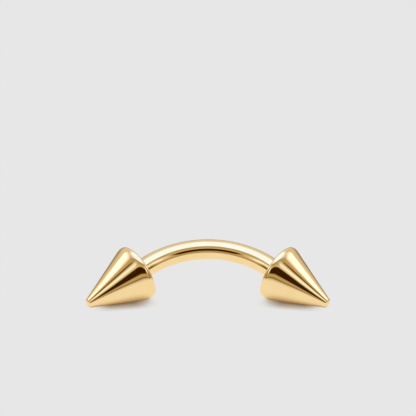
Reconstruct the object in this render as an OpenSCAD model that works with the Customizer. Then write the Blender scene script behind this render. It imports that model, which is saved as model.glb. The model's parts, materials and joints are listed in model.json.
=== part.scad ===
// Curved eyebrow barbell with a cone at each end, lying on a level surface.
// Millimetres. +Z is up from the surface, X runs along the jewel from the left cone to the
// right one, and the bend's crown leans away towards +Y. The origin is on the surface,
// under the middle of the whole jewel.

/* [Bar] */
// Diameter of the bar, 18 gauge
bar_d = 1.02; // [0.8:0.02:1.3]
// Radius of the bend, to the middle of the bar
bend_r = 4.9; // [4:0.1:8]
// Angle from the crown of the bend to each of its ends
half_bend = 38.38; // [34:0.01:50]
// Straight length from each end of the bend to the face of its cone
straight_l = 0.53; // [0.3:0.01:2]

/* [Threaded ends] */
// Width of the shoulder between the bar and each stud
shoulder_w = 0.06; // [0.03:0.01:0.12]
// Length of each stud, from the bar's shoulder
stud_l = 1.6; // [1:0.05:1.7]
// Bevel round the free end of each stud
stud_bevel = 0.1; // [0.05:0.01:0.2]

/* [Cones] */
// Widest diameter of a cone, over its shoulder
cone_d = 2.93; // [2.8:0.01:4]
// Angle between a cone's axis and its side
side_angle = 23.1; // [20:0.1:28]
// Radius of the round from the side into the tip
tip_blend_r = 0.12; // [0.08:0.01:0.2]
// Angle past the widest place at which that round ends and the tip starts
tip_start = 60; // [50:1:70]
// Radius of the slightly domed tip
tip_r = 0.38; // [0.25:0.01:0.5]
// Radius of the small round from a cone's face into its shoulder
rim_r = 0.12; // [0.05:0.01:0.2]
// Radius of the shoulder, the round at the widest place
shoulder_r = 0.42; // [0.3:0.01:0.6]
// Radius of the long, soft round from the shoulder into the side
blend_r = 2; // [1:0.1:3]
// Angle before the widest place at which the shoulder starts
shoulder_start = 8; // [2:1:12]
// Angle past the widest place at which the shoulder ends
shoulder_end = 17; // [10:1:19]
// Depth of the recess in a cone's face that hides the bar's shoulder
recess_l = 0.12; // [0.05:0.01:0.2]

/* [Fit] */
// Play all round between the bar and its recess, and between a stud and its hole
play = 0.02; // [0.01:0.005:0.05]
// Length of the hole past the stud's free end
hole_spare = 0.1; // [0.05:0.01:0.15]
// Angle of the drilled bottom of the hole, across its point
drill_angle = 118; // [90:1:140]

/* [Hidden] */
$fn = 128;

gold = "#E9C583";

bar_r = bar_d / 2;
stud_r = bar_r - shoulder_w;
recess_r = bar_r + play;
hole_r = stud_r + play;
hole_l = recess_l + stud_l + hole_spare;
drill_point_l = hole_r / tan(drill_angle / 2);
// How far a hole is cut past the face that it opens
cut_past = 0.1;

// Half the outline of a cone has its face on X and its axis on Y. Going round from the face it
// is the rim, the shoulder, a blend, the straight side, a second blend and the tip, and each
// round touches the next. A sharp cone with the same side gives the tip's place.
function towards(angle) = [cos(angle), sin(angle)];
rim_to_shoulder = (shoulder_r - rim_r) * towards(-shoulder_start);
shoulder_centre = [cone_d / 2 - shoulder_r, rim_r - rim_to_shoulder.y];
rim_centre = shoulder_centre + rim_to_shoulder;
blend_centre = shoulder_centre - (blend_r - shoulder_r) * towards(shoulder_end);
side_touch = blend_centre + blend_r * towards(side_angle);
sharp_r = side_touch.x + side_touch.y * tan(side_angle);
sharp_l = sharp_r / tan(side_angle);
tip_to_blend = (tip_blend_r - tip_r) * towards(tip_start);
sharp_to_tip = tip_blend_r - tip_to_blend * towards(side_angle);
tip_centre = [0, sharp_l - sharp_to_tip / sin(side_angle)];
tip_blend_centre = tip_centre - tip_to_blend;
tip_blend_touch = tip_blend_centre + tip_blend_r * towards(side_angle);
// How deep into the cone each round's own outline reaches
round_depth = rim_r / 2;

// How far the middle of a cone's face lies below the crown, in the plane of the bend
face_drop = bend_r * (1 - cos(half_bend)) + straight_l * sin(half_bend);

// Both cones lie on their sides, which sets the slope of the plane of the bend. The second
// blend is what reaches furthest towards -Y.
lean = asin(sin(side_angle) / sin(half_bend));
crown_z = sharp_l * sin(side_angle) + face_drop * sin(lean);
reach_angle = asin(sin(half_bend) * cos(lean));
cone_reach = tip_blend_centre * towards(reach_angle) + tip_blend_r;
crown_y = (face_drop * cos(lean) + cone_reach - bar_r) / 2;

// Outer part of a disc, from one direction round to another less than a right angle away
module disc_edge(centre, r, from, to) {
    intersection() {
        translate(centre)
            circle(r = r);
        polygon([
            centre + (r - round_depth) * towards(from),
            centre + 2 * r * towards(from),
            centre + 2 * r * towards(to),
            centre + (r - round_depth) * towards(to)
        ]);
    }
}

// Outline of half a cone: its face on the X axis, its tip up the Y axis
module cone_outline() {
    rim_touch = rim_centre + rim_r * towards(-shoulder_start);
    shoulder_touch = shoulder_centre + shoulder_r * towards(shoulder_end);
    tip_touch = tip_centre + tip_r * towards(tip_start);
    polygon([
        [0, 0], [rim_centre.x, 0], rim_touch, shoulder_touch, side_touch, tip_blend_touch,
        tip_touch, [0, tip_touch.y]
    ]);
    disc_edge(rim_centre, rim_r, -90, -shoulder_start);
    disc_edge(shoulder_centre, shoulder_r, -shoulder_start, shoulder_end);
    disc_edge(blend_centre, blend_r, shoulder_end, side_angle);
    disc_edge(tip_blend_centre, tip_blend_r, side_angle, tip_start);
    disc_edge(tip_centre, tip_r, tip_start, 90);
}

// Outline of half the hole in a cone: recess, threaded length and drilled bottom
module hole_outline() {
    polygon([
        [0, -cut_past], [recess_r, -cut_past], [recess_r, recess_l],
        [hole_r, recess_l], [hole_r, hole_l], [0, hole_l + drill_point_l]
    ]);
}

// Outline of half of a bar end: the straight stretch, its shoulder and the stud
module end_outline() {
    polygon([
        [0, -straight_l], [bar_r, -straight_l], [bar_r, recess_l],
        [stud_r, recess_l], [stud_r, recess_l + stud_l - stud_bevel],
        [stud_r - stud_bevel, recess_l + stud_l], [0, recess_l + stud_l]
    ]);
}

// Leans the plane of the bend and sets the jewel down on the surface
module as_it_lies() {
    translate([0, crown_y, crown_z])
        rotate([lean, 0, 0])
            children();
}

// Turns a shape that stands on the origin so that it points out of the bar's right end
module at_right_end() {
    translate([0, -bend_r, 0])
        rotate([0, 0, -half_bend])
            translate([straight_l, bend_r, 0])
                rotate([0, 90, 0])
                    children();
}

module at_left_end() {
    mirror([1, 0, 0])
        at_right_end()
            children();
}

module bend() {
    translate([0, -bend_r, 0])
        rotate([0, 0, 90 - half_bend])
            rotate_extrude(angle = 2 * half_bend)
                translate([bend_r, 0])
                    circle(r = bar_r);
}

module curved_bar() {
    color(gold)
        as_it_lies() {
            bend();
            at_left_end()
                rotate_extrude()
                    end_outline();
            at_right_end()
                rotate_extrude()
                    end_outline();
        }
}

module cone() {
    rotate_extrude()
        difference() {
            cone_outline();
            hole_outline();
        }
}

module left_cone() {
    color(gold)
        as_it_lies()
            at_left_end()
                cone();
}

module right_cone() {
    color(gold)
        as_it_lies()
            at_right_end()
                cone();
}

curved_bar();
left_cone();
right_cone();
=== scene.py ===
# A gold-coloured curved eyebrow barbell with a screwed-on cone at each end, lying on a pale table.
# Metres, +Z up from the table, +X along the jewel, the crown of the bend leaning away to +Y.
import json
import math

import bpy
from mathutils import Matrix, Vector


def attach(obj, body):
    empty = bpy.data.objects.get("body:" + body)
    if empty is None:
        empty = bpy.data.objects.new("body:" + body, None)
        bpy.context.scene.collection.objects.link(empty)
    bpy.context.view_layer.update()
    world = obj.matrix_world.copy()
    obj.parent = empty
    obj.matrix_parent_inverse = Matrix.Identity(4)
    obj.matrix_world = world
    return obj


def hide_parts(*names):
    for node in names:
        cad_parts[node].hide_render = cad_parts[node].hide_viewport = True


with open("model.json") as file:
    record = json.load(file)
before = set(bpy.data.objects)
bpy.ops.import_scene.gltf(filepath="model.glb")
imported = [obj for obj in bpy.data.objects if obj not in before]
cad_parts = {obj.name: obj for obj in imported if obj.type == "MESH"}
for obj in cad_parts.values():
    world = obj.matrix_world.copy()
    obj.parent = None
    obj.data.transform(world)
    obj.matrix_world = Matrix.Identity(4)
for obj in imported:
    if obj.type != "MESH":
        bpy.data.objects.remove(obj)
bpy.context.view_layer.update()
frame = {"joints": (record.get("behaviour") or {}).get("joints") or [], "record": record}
MM = 0.001

# Camera. It stands in front of the jewel and a little above it, as in the photograph,
# and is pitched and panned until the crown of the bend falls on its own pixel.
piercing = next(m for m in frame["record"]["mounts"] if m["name"] == "piercing")
crown = Vector(piercing["pos_m"])
IMAGE_SIDE_PX = 416
crown_px = (207.9, 249.4)
px_per_mm = 19.77
camera_distance = 120 * MM
camera_elevation = math.radians(14.2)
focal_px = px_per_mm * camera_distance / MM

camera_data = bpy.data.cameras.new("camera")
camera_data.sensor_width = 36
camera_data.lens = camera_data.sensor_width * focal_px / IMAGE_SIDE_PX
camera_data.clip_start = camera_distance / 100
camera_data.clip_end = camera_distance * 100
camera = bpy.data.objects.new("camera", camera_data)
bpy.context.scene.collection.objects.link(camera)
bpy.context.scene.camera = camera
backwards = Vector((0, -math.cos(camera_elevation), math.sin(camera_elevation)))
camera.location = crown + backwards * camera_distance
pitch_up = math.atan((crown_px[1] - IMAGE_SIDE_PX / 2) / focal_px)
pan_right = math.atan((IMAGE_SIDE_PX / 2 - crown_px[0]) / focal_px)
camera.rotation_euler = (math.pi / 2 - camera_elevation + pitch_up, 0, -pan_right)

# Curved bar. One length of round steel wire, turned down at both ends to a stud with a fine
# right-hand thread, bent to an arc, polished bright and coated in gold colour.
off_axis = next(Vector(j["axis"]) for j in frame["joints"] if j["child"] == "right_cone")
half_bend = math.acos(off_axis.x)
side_angle = math.asin(-off_axis.z)
lean = math.asin(math.sin(side_angle) / math.sin(half_bend))
bar_r = piercing["dims"]["r_mm"] * MM
bend_r = 4.9 * MM
straight_l = 0.53 * MM
shoulder_w = 0.06 * MM
stud_r = bar_r - shoulder_w
stud_l = 1.6 * MM
stud_bevel = 0.1 * MM
recess_l = 0.12 * MM
thread_pitch = 0.225 * MM
thread_depth = 0.1 * MM
thread_fade = 0.12 * MM
# Above 1, it leaves a flat crest between the thread's grooves
groove_narrowing = 1.15
crest_round = 0.12
edge_bevel = 0.008 * MM
sharp_angle = math.radians(35)
# How many sides the turned bar has, and how many steps its outline takes from corner to corner
bar_sides = 96
bar_steps = 130
thread_steps = 90
end_steps = 6
narrow_steps = 3


def add_node(tree, kind, inputs=(), **settings):
    """A node with its settings made, and each of its inputs set to a value or linked to a socket."""
    node = tree.nodes.new(kind)
    for name, value in settings.items():
        setattr(node, name, value)
    for key, value in dict(inputs).items():
        if isinstance(value, bpy.types.NodeSocket):
            tree.links.new(value, node.inputs[key])
        else:
            node.inputs[key].default_value = value
    return node


def calc(tree, operation, a, b=0.0, c=0.0):
    """A Math node's result."""
    inputs = {0: a, 1: b, 2: c}
    return add_node(tree, "ShaderNodeMath", inputs, operation=operation).outputs[0]


def vector_calc(tree, operation, first, second=(0, 0, 0), scale=1.0):
    """A Vector Math node's result."""
    inputs = {0: first, 1: second, 3: scale}
    return add_node(tree, "ShaderNodeVectorMath", inputs, operation=operation).outputs[0]


def split(tree, vector):
    """A vector's X, Y and Z."""
    return add_node(tree, "ShaderNodeSeparateXYZ", {0: vector}).outputs


def join(tree, x, y, z=0.0):
    """The vector of that X, Y and Z."""
    return add_node(tree, "ShaderNodeCombineXYZ", {"X": x, "Y": y, "Z": z}).outputs[0]


def map_range(tree, value, start, end, low=0.0, high=1.0, kind="LINEAR"):
    """A Map Range node's result."""
    inputs = {0: value, 1: start, 2: end, 3: low, 4: high}
    return add_node(tree, "ShaderNodeMapRange", inputs, interpolation_type=kind).outputs[0]


def mix_colour(tree, factor, first, second):
    """A Mix node's colour."""
    return add_node(tree, "ShaderNodeMix", {0: factor, 6: first, 7: second}, data_type="RGBA").outputs[2]


def start_tree(name, kind, inputs, outputs):
    """A node tree with those sockets, name to socket type and perhaps default, and its own two ends."""
    tree = bpy.data.node_groups.new(name, kind)
    for in_out, sockets in (("INPUT", inputs), ("OUTPUT", outputs)):
        for label, (socket_type, *default) in sockets.items():
            socket = tree.interface.new_socket(label, in_out=in_out, socket_type=socket_type)
            if default:
                socket.default_value = default[0]
    return tree, tree.nodes.new("NodeGroupInput").outputs, tree.nodes.new("NodeGroupOutput").inputs


def get_position(tree):
    """Where each point of the geometry is."""
    return add_node(tree, "GeometryNodeInputPosition").outputs[0]


def get_attribute(tree, name):
    """A named number that each point of the geometry has."""
    node = add_node(tree, "GeometryNodeInputNamedAttribute", {"Name": name}, data_type="FLOAT")
    return node.outputs["Attribute"]


def sample_at(tree, index, geometry, value, kind="FLOAT"):
    """A value of the geometry at that index."""
    inputs = {"Geometry": geometry, "Value": value, "Index": index}
    return add_node(tree, "GeometryNodeSampleIndex", inputs, data_type=kind).outputs["Value"]


def move_to(tree, body, places):
    """The body with its points at those places."""
    inputs = {"Geometry": body, "Position": places}
    return add_node(tree, "GeometryNodeSetPosition", inputs).outputs[0]


def store(tree, body, name, value, kind="FLOAT"):
    """The body with a value kept at each point, under that name."""
    inputs = {"Geometry": body, "Name": name, "Value": value}
    return add_node(tree, "GeometryNodeStoreNamedAttribute", inputs, data_type=kind).outputs[0]


def end_tree(tree, body, material, result):
    """Ends a geometry tree with the body as real geometry in that material."""
    body = add_node(tree, "GeometryNodeRealizeInstances", {"Geometry": body}).outputs[0]
    body = add_node(tree, "GeometryNodeSetMaterial", {"Geometry": body, "Material": material}).outputs[0]
    tree.links.new(body, result["Geometry"])


# Turns the input's outline, an open chain of points, into a closed body round the Z axis, its
# faces outwards, and cuts a V thread as deep as the outline's "groove" attribute says. "blank_at"
# keeps each place as it was turned, for the polish lines, and "machined" says where the mop
# doesn't reach.
turned, given, result = start_tree(
    "turned",
    "GeometryNodeTree",
    {
        "Geometry": ["NodeSocketGeometry"],
        "Sides": ["NodeSocketInt", 96],
        "Pitch": ["NodeSocketFloat", 1.0],
        "Merge": ["NodeSocketFloat", 1e-7],
        "Material": ["NodeSocketMaterial"],
    },
    {"Geometry": ["NodeSocketGeometry"]},
)
outline = given["Geometry"]
count = add_node(turned, "GeometryNodeAttributeDomainSize", {0: outline}).outputs["Point Count"]
last_index = calc(turned, "SUBTRACT", count, 1.0)
grid = add_node(
    turned,
    "GeometryNodeMeshGrid",
    {
        "Size X": last_index,
        "Size Y": 1.0,
        "Vertices X": count,
        "Vertices Y": calc(turned, "ADD", given["Sides"], 1.0),
    },
)
grid_at = split(turned, get_position(turned))
index = calc(turned, "ADD", grid_at["X"], calc(turned, "MULTIPLY", last_index, 0.5))
index = calc(turned, "ROUND", index)
turn = calc(turned, "ADD", grid_at["Y"], 0.5)
outline_at = split(turned, sample_at(turned, index, outline, get_position(turned), "FLOAT_VECTOR"))
groove = sample_at(turned, index, outline, get_attribute(turned, "groove"))
machined = sample_at(turned, index, outline, get_attribute(turned, "machined"))
thread_phase = calc(turned, "SUBTRACT", calc(turned, "DIVIDE", outline_at["Z"], given["Pitch"]), turn)
wave = calc(turned, "MULTIPLY_ADD", calc(turned, "FRACT", thread_phase), 2.0, -1.0)
wave = calc(turned, "ABSOLUTE", wave)
wave = calc(turned, "SMOOTH_MIN", calc(turned, "MULTIPLY", wave, groove_narrowing), 1.0, crest_round)
cut = calc(turned, "MULTIPLY", groove, calc(turned, "SUBTRACT", 1.0, wave))
radius = calc(turned, "SUBTRACT", outline_at["X"], cut)
angle = calc(turned, "MULTIPLY", turn, math.tau)
turned_at = join(
    turned,
    calc(turned, "MULTIPLY", radius, calc(turned, "COSINE", angle)),
    calc(turned, "MULTIPLY", radius, calc(turned, "SINE", angle)),
    outline_at["Z"],
)
body = move_to(turned, grid.outputs["Mesh"], turned_at)
body = store(turned, body, "blank_at", get_position(turned), "FLOAT_VECTOR")
body = store(turned, body, "machined", machined)
inputs = {"Geometry": body, "Distance": given["Merge"]}
body = add_node(turned, "GeometryNodeMergeByDistance", inputs).outputs[0]
body = add_node(turned, "GeometryNodeFlipFaces", {"Mesh": body}).outputs[0]
end_tree(turned, body, given["Material"], result)

# Bends a straight blank that lies along Z into an arc in the XY plane, its crown at the origin,
# with straight ends.
bent, given, result = start_tree(
    "bent",
    "GeometryNodeTree",
    {
        "Geometry": ["NodeSocketGeometry"],
        "Bend Radius": ["NodeSocketFloat", 1.0],
        "Half Bend": ["NodeSocketFloat", 0.5],
        "Material": ["NodeSocketMaterial"],
    },
    {"Geometry": ["NodeSocketGeometry"]},
)
blank = split(bent, get_position(bent))
bend_angle = calc(bent, "DIVIDE", blank["Z"], given["Bend Radius"])
bend_angle = calc(bent, "MINIMUM", bend_angle, given["Half Bend"])
bend_angle = calc(bent, "MAXIMUM", bend_angle, calc(bent, "MULTIPLY", given["Half Bend"], -1.0))
bent_length = calc(bent, "MULTIPLY", bend_angle, given["Bend Radius"])
past_bend = calc(bent, "SUBTRACT", blank["Z"], bent_length)
reach = calc(bent, "ADD", given["Bend Radius"], blank["X"])
sine = calc(bent, "SINE", bend_angle)
cosine = calc(bent, "COSINE", bend_angle)
on_arc = calc(bent, "SUBTRACT", calc(bent, "MULTIPLY", reach, cosine), given["Bend Radius"])
bent_at = join(
    bent,
    calc(bent, "MULTIPLY_ADD", reach, sine, calc(bent, "MULTIPLY", past_bend, cosine)),
    calc(bent, "SUBTRACT", on_arc, calc(bent, "MULTIPLY", past_bend, sine)),
    blank["Y"],
)
end_tree(bent, move_to(bent, given["Geometry"], bent_at), given["Material"], result)


def points_through(*corners):
    """An outline's points through corners, each (radius, place on the axis, steps to the next one)."""
    points = []
    for (r0, z0, steps), (r1, z1, _) in zip(corners, corners[1:]):
        points += [(r0 + (r1 - r0) * i / steps, z0 + (z1 - z0) * i / steps) for i in range(steps)]
    return points + [corners[-1][:2]]


def groove_at(z, start, end):
    """The thread's depth at a place on the axis, fading to none at both ends of the thread."""
    inside = min(z - start, end - z) / thread_fade
    return thread_depth * max(0.0, min(1.0, inside))


def outline_object(name, points, grooves, machined):
    """An object that holds an outline's points, with the thread's depth and the finish at each."""
    mesh = bpy.data.meshes.new(name)
    edges = [(i, i + 1) for i in range(len(points) - 1)]
    mesh.from_pydata([(r, 0, z) for r, z in points], edges, [])
    mesh.attributes.new("groove", "FLOAT", "POINT").data.foreach_set("value", grooves)
    mesh.attributes.new("machined", "FLOAT", "POINT").data.foreach_set("value", machined)
    piece = bpy.data.objects.new(name, mesh)
    bpy.context.scene.collection.objects.link(piece)
    return piece


def add_modifier(piece, tree, values):
    """Adds the tree as a modifier, and sets its inputs of those names."""
    modifier = piece.modifiers.new(tree.name, "NODES")
    modifier.node_group = tree
    identifiers = {s.name: s.identifier for s in tree.interface.items_tree if s.in_out == "INPUT"}
    for name, value in values.items():
        modifier[identifiers[name]] = value


def settle(piece, place):
    """Makes the modifiers' result the piece's own mesh, in its place, and keeps its corners sharp."""
    graph = bpy.context.evaluated_depsgraph_get()
    mesh = bpy.data.meshes.new_from_object(piece.evaluated_get(graph))
    piece.modifiers.clear()
    piece.data = mesh
    mesh.transform(place)
    mesh.shade_smooth()
    mesh.set_sharp_from_angle(angle=sharp_angle)
    mesh.update()


# Gold coating on polished steel. Fine lines that the mop leaves run one way over each piece,
# and the coating's tone and gloss change slightly in soft clouds. Where the mop doesn't reach,
# on the threads and in the holes, the metal is duller and the coating thinner.
cloud_span = (0.35, 0.65)
line_span = (0.4, 0.75)
cloud_dulling = 0.02
line_dulling = 0.05
line_height = 0.2
polish_relief = 0.0006 * MM
polish, given, result = start_tree(
    "polish",
    "ShaderNodeTree",
    {
        "Place": ["NodeSocketVector", (0, 0, 0)],
        "Lines": ["NodeSocketVector", (10, 10, 1)],
        "Clouds": ["NodeSocketFloat", 1.3],
        "Gold": ["NodeSocketColor", (1.0, 0.765, 0.385, 1)],
        "Deep Gold": ["NodeSocketColor", (0.98, 0.735, 0.355, 1)],
        "Machined Gold": ["NodeSocketColor", (0.75, 0.6, 0.36, 1)],
        "Gloss": ["NodeSocketFloat", 0.03],
        "Machined Gloss": ["NodeSocketFloat", 0.28],
        "Machined": ["NodeSocketFloat", 0.0],
    },
    {
        "Color": ["NodeSocketColor"],
        "Roughness": ["NodeSocketFloat"],
        "Height": ["NodeSocketFloat"],
    },
)
clouds = add_node(
    polish,
    "ShaderNodeTexNoise",
    {"Vector": given["Place"], "Scale": given["Clouds"], "Detail": 3.0, "Roughness": 0.5},
).outputs[0]
line_place = vector_calc(polish, "MULTIPLY", given["Place"], given["Lines"])
lines = add_node(
    polish,
    "ShaderNodeTexNoise",
    {"Vector": line_place, "Scale": 1.0, "Detail": 4.0, "Roughness": 0.65},
).outputs[0]
cloudy = map_range(polish, clouds, *cloud_span)
lined = map_range(polish, lines, *line_span)
tone = mix_colour(polish, cloudy, given["Gold"], given["Deep Gold"])
tone = mix_colour(polish, given["Machined"], tone, given["Machined Gold"])
gloss = calc(polish, "MULTIPLY_ADD", lined, line_dulling, given["Gloss"])
gloss = calc(polish, "MULTIPLY_ADD", cloudy, cloud_dulling, gloss)
gloss = map_range(polish, given["Machined"], 0.0, 1.0, gloss, given["Machined Gloss"])
height = calc(polish, "MULTIPLY_ADD", lines, line_height, clouds)
polish.links.new(tone, result["Color"])
polish.links.new(gloss, result["Roughness"])
polish.links.new(height, result["Height"])


def gold_material(name, lines_per_mm):
    """Gold coating, its polish lines as close together as that in each of the blank's directions."""
    material = bpy.data.materials.new(name)
    material.use_nodes = True
    tree = material.node_tree
    shader = tree.nodes["Principled BSDF"]
    shader.inputs["Metallic"].default_value = 1
    blank_at = add_node(tree, "ShaderNodeAttribute", attribute_name="blank_at").outputs["Vector"]
    machined = add_node(tree, "ShaderNodeAttribute", attribute_name="machined").outputs["Fac"]
    place_mm = vector_calc(tree, "SCALE", blank_at, scale=1 / MM)
    inputs = {"Place": place_mm, "Lines": lines_per_mm, "Machined": machined}
    finish = add_node(tree, "ShaderNodeGroup", inputs, node_tree=polish).outputs
    inputs = {"Height": finish["Height"], "Distance": polish_relief, "Strength": 1.0}
    relief = add_node(tree, "ShaderNodeBump", inputs)
    tree.links.new(finish["Color"], shader.inputs["Base Color"])
    tree.links.new(finish["Roughness"], shader.inputs["Roughness"])
    tree.links.new(relief.outputs[0], shader.inputs["Normal"])
    return material


bar_gold = gold_material("bar_gold", lines_per_mm=(16, 16, 0.6))

face_s = bend_r * half_bend + straight_l
shoulder_s = face_s + recess_l
stud_end_s = shoulder_s + stud_l
half_outline = points_through(
    (bar_r, 0, bar_steps),
    (bar_r, shoulder_s - edge_bevel, 1),
    (bar_r - edge_bevel, shoulder_s, narrow_steps),
    (stud_r, shoulder_s, thread_steps),
    (stud_r, stud_end_s - stud_bevel, narrow_steps),
    (stud_r - stud_bevel, stud_end_s, end_steps),
    (0, stud_end_s, 0),
)
bar_outline = [(r, -s) for r, s in reversed(half_outline[1:])] + half_outline
thread_end_s = stud_end_s + thread_fade
bar_grooves = [
    groove_at(abs(s), shoulder_s, thread_end_s) if r > stud_r - stud_bevel else 0.0
    for r, s in bar_outline
]
bar_machined = [1.0 if r < bar_r else 0.0 for r, s in bar_outline]
bar = outline_object("curved_bar_metal", bar_outline, bar_grooves, bar_machined)
add_modifier(bar, turned, {"Sides": bar_sides, "Pitch": thread_pitch, "Material": bar_gold})
add_modifier(bar, bent, {"Bend Radius": bend_r, "Half Bend": half_bend, "Material": bar_gold})
as_it_lies = Matrix.Translation(crown) @ Matrix.Rotation(lean, 4, "X")
settle(bar, as_it_lies)
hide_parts("curved_bar")
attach(bar, "bar")

# Cones. Each is turned from steel rod, drilled and threaded from its flat face, polished bright
# until the edge between side and rim is a soft shoulder, coated as the bar is, and screwed on.
cone_r = 1.465 * MM
rim_r = 0.12 * MM
shoulder_r = 0.42 * MM
blend_r = 2 * MM
tip_blend_r = 0.12 * MM
tip_r = 0.38 * MM
# Angles along a cone's outline, in degrees from straight away from its axis
face_degrees = -90
shoulder_start = -8
shoulder_end = 17
side_degrees = math.degrees(side_angle)
tip_start = 60
tip_end = 90
play = 0.02 * MM
hole_spare = 0.1 * MM
drill_angle = math.radians(118)
recess_r = bar_r + play
hole_r = stud_r + play
hole_l = recess_l + stud_l + hole_spare
drill_point_l = hole_r / math.tan(drill_angle / 2)
cone_sides = 192
face_steps = 12
rim_steps = 20
shoulder_steps = 16
blend_steps = 10
side_steps = 60
tip_steps = 12


def towards(degrees):
    """The direction at that angle from straight away from the axis, in the outline's plane."""
    return Vector((math.cos(math.radians(degrees)), math.sin(math.radians(degrees))))


def points_round(centre, radius, first, last, steps):
    """The outline's points on a round, from one angle to another."""
    turns = [math.radians(first + (last - first) * i / steps) for i in range(steps + 1)]
    return [(centre.x + radius * math.cos(a), centre.y + radius * math.sin(a)) for a in turns]


rim_to_shoulder = (shoulder_r - rim_r) * towards(shoulder_start)
shoulder_centre = Vector((cone_r - shoulder_r, rim_r - rim_to_shoulder.y))
rim_centre = shoulder_centre + rim_to_shoulder
blend_centre = shoulder_centre - (blend_r - shoulder_r) * towards(shoulder_end)
side_reach = blend_centre.dot(towards(side_degrees)) + blend_r
tip_to_blend = (tip_blend_r - tip_r) * towards(tip_start)
tip_reach = tip_blend_r - tip_to_blend.dot(towards(side_degrees))
tip_centre = Vector((0, (side_reach - tip_reach) / math.sin(side_angle)))
tip_blend_centre = tip_centre - tip_to_blend

hole_and_face = points_through(
    (0, hole_l + drill_point_l, end_steps),
    (hole_r, hole_l, thread_steps),
    (hole_r, recess_l, narrow_steps),
    (recess_r, recess_l, narrow_steps),
    (recess_r, edge_bevel, 1),
    (recess_r + edge_bevel, 0, face_steps),
    (rim_centre.x, 0, 0),
)
rim = points_round(rim_centre, rim_r, face_degrees, shoulder_start, rim_steps)
shoulder = points_round(shoulder_centre, shoulder_r, shoulder_start, shoulder_end, shoulder_steps)
blend = points_round(blend_centre, blend_r, shoulder_end, side_degrees, blend_steps)
tip_blend = points_round(tip_blend_centre, tip_blend_r, side_degrees, tip_start, tip_steps)
tip = points_round(tip_centre, tip_r, tip_start, tip_end, tip_steps)
straight_side = points_through((*blend[-1], side_steps), (*tip_blend[0], 0))
stretches = (hole_and_face, rim, shoulder, blend, straight_side, tip_blend, tip)
cone_outline = [point for stretch in stretches for point in stretch[:-1]]
cone_outline.append((0, tip_centre.y + tip_r))
cone_grooves = [-groove_at(z, recess_l, hole_l) if r == hole_r else 0.0 for r, z in cone_outline]
cone_machined = [1.0 if r <= recess_r and z <= hole_l + drill_point_l else 0.0 for r, z in cone_outline]
cone_gold = gold_material("cone_gold", lines_per_mm=(1.5, 1.5, 16))

for side, turn_round in (("right", 0), ("left", math.pi)):
    cone = outline_object(side + "_cone_metal", cone_outline, cone_grooves, cone_machined)
    add_modifier(cone, turned, {"Sides": cone_sides, "Pitch": thread_pitch, "Material": cone_gold})
    out_of_the_end = (
        Matrix.Rotation(turn_round, 4, "Y")
        @ Matrix.Translation((0, -bend_r, 0))
        @ Matrix.Rotation(-half_bend, 4, "Z")
        @ Matrix.Translation((straight_l, bend_r, 0))
        @ Matrix.Rotation(math.pi / 2, 4, "Y")
    )
    settle(cone, as_it_lies @ out_of_the_end)
    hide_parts(side + "_cone")
    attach(cone, side + "_cone")

# Table. A smooth pale sheet that glows in one even tone, with a painted warm shadow under each
# cone, darkest where the jewel is closest, that fades out towards the cone's ends. What the jewel
# mirrors of the sheet is a painted reflection: bright near it, a dark band in front and brown beyond.
table_side = 2
table_tone = (0.799, 0.799, 0.799)
# Painted shadow in the sheet's glow, deeper where the jewel leaves less open sky, shown only between the
# inner and outer ends along X
shadow_reach = 0.85 * MM
shadow_samples = 16
shadow_depth = ((0, 0.22), (0.2, 0.43), (0.5, 0.65), (0.75, 0.86), (0.93, 0.97), (1, 1))
shadow_warmth = (1, 1.33, 1.75)
shadow_inner_end = 3 * MM
shadow_inner_fade = 1.6 * MM
shadow_outer_end = 5.3 * MM
shadow_outer_fade = 1.2 * MM
# Painted shadow and painted reflection tones that only mirror rays see on the sheet: bright near the
# jewel, then a dark band, then brown
mirrored_depth = ((0, 0.15), (0.07, 0.33), (0.16, 0.52), (0.35, 0.79), (0.45, 0.92), (0.7, 1))
mirrored_warmth = (1, 1.5, 2.3)
painted_near_reflection = (0.91, 0.9, 0.93, 1)
painted_band_reflection = (0.22, 0.12, 0.0, 1)
painted_far_reflection = (0.52, 0.43, 0.29, 1)
bright_reflection_end = 5.6 * MM
dark_band_width = 4 * MM
reflection_band_softness = 4.8 * MM

soft_edge, given, result = start_tree(
    "soft_edge",
    "ShaderNodeTree",
    {name: ["NodeSocketFloat"] for name in ("Distance", "Edge", "Softness")},
    {"Mask": ["NodeSocketFloat"]},
)
inside = calc(soft_edge, "SUBTRACT", given["Edge"], given["Distance"])
inside = calc(soft_edge, "DIVIDE", inside, given["Softness"])
mask = map_range(soft_edge, inside, -0.5, 0.5, kind="SMOOTHSTEP")
soft_edge.links.new(mask, result["Mask"])


def edge_mask(tree, distance, edge, softness):
    """A mask that is 1 nearer than the edge and 0 beyond it, with a soft change between."""
    inputs = {"Distance": distance, "Edge": edge, "Softness": softness}
    return add_node(tree, "ShaderNodeGroup", inputs, node_tree=soft_edge).outputs["Mask"]


def light_material(name):
    """A material that only gives light: its tree, and the node that gives it."""
    material = bpy.data.materials.new(name)
    material.use_nodes = True
    material.cycles.emission_sampling = "NONE"
    tree = material.node_tree
    tree.nodes.remove(tree.nodes["Principled BSDF"])
    glow = add_node(tree, "ShaderNodeEmission")
    tree.links.new(glow.outputs[0], tree.nodes["Material Output"].inputs["Surface"])
    return material, tree, glow


def object_place(tree):
    """The X, Y and Z of the object's own coordinates."""
    return split(tree, add_node(tree, "ShaderNodeTexCoord").outputs["Object"])


def tone_ramp(tree, value, stops):
    """A colour ramp with those stops, each a place from 0 to 1 and its colour."""
    node = add_node(tree, "ShaderNodeValToRGB", {"Fac": value})
    elements = node.color_ramp.elements
    while len(elements) < len(stops):
        elements.new(0.5)
    for element, (place, colour) in zip(elements, stops):
        element.position = place
        element.color = (*colour, 1)
    return node.outputs["Color"]


def shade(tree, open_sky, depth, warmth, tone):
    """The tone in a shadow that is as deep as the depth table says, and deeper in green and blue."""
    stops = [(place, [light ** power for power in warmth]) for place, light in depth]
    return vector_calc(tree, "MULTIPLY", tone_ramp(tree, open_sky, stops), tone)


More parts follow.
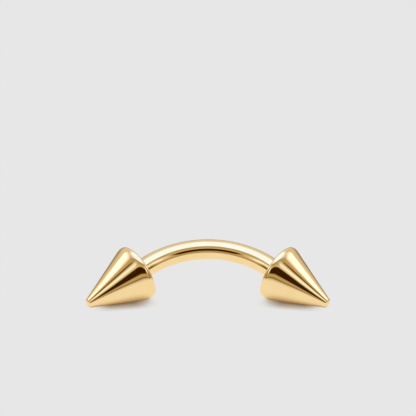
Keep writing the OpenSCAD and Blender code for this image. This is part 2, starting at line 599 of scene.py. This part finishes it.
table_sheet, tree, glow = light_material("table_sheet")
# Painted shadow: the glow darkens by ambient occlusion near the jewel and fades out beyond fixed
# distances from the middle along X
inputs = {"Distance": shadow_reach}
sky = add_node(tree, "ShaderNodeAmbientOcclusion", inputs, samples=shadow_samples)
open_sky = sky.outputs["AO"]
table_place = object_place(tree)
from_middle = calc(tree, "ABSOLUTE", table_place["X"])
under_cone = calc(
    tree,
    "SUBTRACT",
    edge_mask(tree, from_middle, shadow_outer_end, shadow_outer_fade),
    edge_mask(tree, from_middle, shadow_inner_end, shadow_inner_fade),
)
faded_sky = calc(tree, "MULTIPLY_ADD", calc(tree, "SUBTRACT", open_sky, 1.0), under_cone, 1.0)
seen = shade(tree, faded_sky, shadow_depth, shadow_warmth, table_tone)
# Painted reflection: mirror rays see the sheet bright near the jewel, a dark band further in front and
# brown beyond, with a painted shadow near the jewel
towards_camera = calc(tree, "MULTIPLY", table_place["Y"], -1.0)
short_of_far_reflection = edge_mask(tree, towards_camera, bright_reflection_end + dark_band_width, reflection_band_softness)
in_near_reflection = edge_mask(tree, towards_camera, bright_reflection_end, reflection_band_softness)
mirrored = mix_colour(tree, short_of_far_reflection, painted_far_reflection, painted_band_reflection)
mirrored = mix_colour(tree, in_near_reflection, mirrored, painted_near_reflection)
mirrored = shade(tree, open_sky, mirrored_depth, mirrored_warmth, mirrored)
glossy_ray = add_node(tree, "ShaderNodeLightPath").outputs["Is Glossy Ray"]
tree.links.new(mix_colour(tree, glossy_ray, seen, mirrored), glow.inputs["Color"])
bpy.ops.mesh.primitive_plane_add(size=table_side)
table = bpy.context.object
table.name = "table"
table.data.materials.append(table_sheet)

# Light tent. A white cloth dome stands round the jewel, with soft lights at both sides and
# above, and a dark card in front, under the lens. Only mirror reflections show any of them.
tent_middle = Vector((0, 0, 1.5 * MM))
tent_r = 34 * MM
cloth_levels = [degrees / 90 for degrees in (0, 25, 50, 75)]
cloth_front = ((0.52, 0.38, 0.2), (0.72, 0.61, 0.48), (0.38, 0.25, 0.07), (1.0, 1.0, 0.8))
cloth_rear = ((0.21, 0.11, 0.02), (0.72, 0.69, 0.67), (0.75, 0.71, 0.74), (1.0, 1.0, 0.8))
# How far the top light hangs forward of the tent's middle
top_light_forward = 3.3 * MM
# Keeps the very middle of a card from dividing by zero
nearly_none = 1e-6


def only_mirrored(thing):
    """Marks a thing as stage and hides it from all but mirror reflections."""
    thing.visible_camera = False
    thing.visible_diffuse = False
    thing.visible_transmission = False
    thing.visible_volume_scatter = False
    thing.visible_shadow = False


tent_cloth, tree, glow = light_material("tent_cloth")
place = object_place(tree)
level = calc(tree, "ARCSINE", calc(tree, "DIVIDE", place["Z"], tent_r))
level = calc(tree, "DIVIDE", level, math.pi / 2)
rearward = split(tree, vector_calc(tree, "NORMALIZE", join(tree, place["X"], place["Y"])))["Y"]
rearward = map_range(tree, rearward, -1, 1, kind="SMOOTHSTEP")
front_cloth = tone_ramp(tree, level, list(zip(cloth_levels, cloth_front)))
rear_cloth = tone_ramp(tree, level, list(zip(cloth_levels, cloth_rear)))
tree.links.new(mix_colour(tree, rearward, front_cloth, rear_cloth), glow.inputs["Color"])
bpy.ops.mesh.primitive_uv_sphere_add(segments=96, ring_count=48, radius=tent_r, location=tent_middle)
tent = bpy.context.object
tent.name = "light_tent"
tent.data.materials.append(tent_cloth)
only_mirrored(tent)

# A card's mask. Across and Up are places on it, 1 at its edge. Its outline is an ellipse where
# Squareness is 2, and nearly a rectangle where it is high.
card_mask, given, result = start_tree(
    "card_mask",
    "ShaderNodeTree",
    {
        name: ["NodeSocketFloat"]
        for name in ("Across", "Up", "Squareness", "Softness Across", "Softness Up")
    },
    {"Mask": ["NodeSocketFloat"]},
)
across = calc(card_mask, "ABSOLUTE", given["Across"])
up = calc(card_mask, "ABSOLUTE", given["Up"])
reach = calc(
    card_mask,
    "ADD",
    calc(card_mask, "POWER", across, given["Squareness"]),
    calc(card_mask, "POWER", up, given["Squareness"]),
)
reach = calc(card_mask, "POWER", reach, calc(card_mask, "DIVIDE", 1.0, given["Squareness"]))
across = calc(card_mask, "MULTIPLY", across, across)
up = calc(card_mask, "MULTIPLY_ADD", up, up, nearly_none)
sideways = calc(card_mask, "DIVIDE", across, calc(card_mask, "ADD", across, up))
softness = map_range(card_mask, sideways, 0, 1, given["Softness Up"], given["Softness Across"])
card_mask.links.new(edge_mask(card_mask, reach, 1.0, softness), result["Mask"])


def light_card(name, direction, distance, size, softness, squareness, colour, strength=1.0):
    """A flat card in the tent, in degrees and mm. Its azimuth is 0 at the camera, 90 at the right."""
    material, tree, glow = light_material(name)
    place = object_place(tree)
    half_size = [length * MM / 2 for length in size]
    relative_softness = [2 * soft / length for soft, length in zip(softness, size)]
    inputs = {
        "Across": calc(tree, "DIVIDE", place["X"], half_size[0]),
        "Up": calc(tree, "DIVIDE", place["Y"], half_size[1]),
        "Squareness": squareness,
        "Softness Across": relative_softness[0],
        "Softness Up": relative_softness[1],
    }
    mask = add_node(tree, "ShaderNodeGroup", inputs, node_tree=card_mask).outputs["Mask"]
    glow.inputs["Color"].default_value = (*colour, 1)
    glow.inputs["Strength"].default_value = strength
    clear = add_node(tree, "ShaderNodeBsdfTransparent").outputs[0]
    blend = add_node(tree, "ShaderNodeMixShader", {0: mask, 1: clear, 2: glow.outputs[0]}).outputs[0]
    tree.links.new(blend, tree.nodes["Material Output"].inputs["Surface"])
    bpy.ops.mesh.primitive_plane_add(size=1)
    card = bpy.context.object
    card.name = name
    full_reach = 1 + max(relative_softness) / 2
    width, height = (length * MM * full_reach for length in size)
    card.data.transform(Matrix.Diagonal((width, height, 1, 1)))
    card.data.materials.append(material)
    azimuth, elevation = (math.radians(degrees) for degrees in direction)
    turn = Matrix.Rotation(azimuth, 4, "Z") @ Matrix.Rotation(math.pi / 2 - elevation, 4, "X")
    outwards = Matrix.Translation((0, 0, distance * MM))
    card.matrix_world = Matrix.Translation(tent_middle) @ turn @ outwards
    only_mirrored(card)
    return card


for side, hand in (("right", 1), ("left", -1)):
    light_card(
        side + "_side_light",
        direction=(hand * 90.2, 36.5),
        distance=22,
        size=(16.9, 5.9),
        softness=(0.5, 6.5),
        squareness=1.6,
        colour=(0.71, 0.75, 1),
        strength=2.06,
    )
    light_card(
        side + "_inner_light",
        direction=(hand * 34.2, 24.7),
        distance=21.9,
        size=(1.5, 8.1),
        softness=(6.7, 9),
        squareness=1.6,
        colour=(0.61, 0.76, 1),
        strength=2.18,
    )
    light_card(
        side + "_brown_card",
        direction=(hand * 48.6, 15.3),
        distance=21.8,
        size=(3.2, 18.9),
        softness=(1.2, 0.5),
        squareness=5.2,
        colour=(0.13, 0.07, 0.01),
    )
light_card(
    "front_card",
    direction=(0.7, 14.3),
    distance=21.7,
    size=(17.7, 10),
    softness=(1.15, 2),
    squareness=6.8,
    colour=(0.037, 0.014, 0),
)
top_light = light_card(
    "top_light",
    direction=(0, 90),
    distance=22,
    size=(33.2, 24.8),
    softness=(10, 7.5),
    squareness=2,
    colour=(0.46, 0.6, 1),
    strength=2.14,
)
top_light.location.y -= top_light_forward

# Air round the tent. It only fills what the camera sees past the table's edge.
world = bpy.data.worlds.new("plain_air")
world.use_nodes = True
world.node_tree.nodes["Background"].inputs["Color"].default_value = (*table_tone, 1)
bpy.context.scene.world = world
bpy.context.scene.view_settings.view_transform = "Standard"
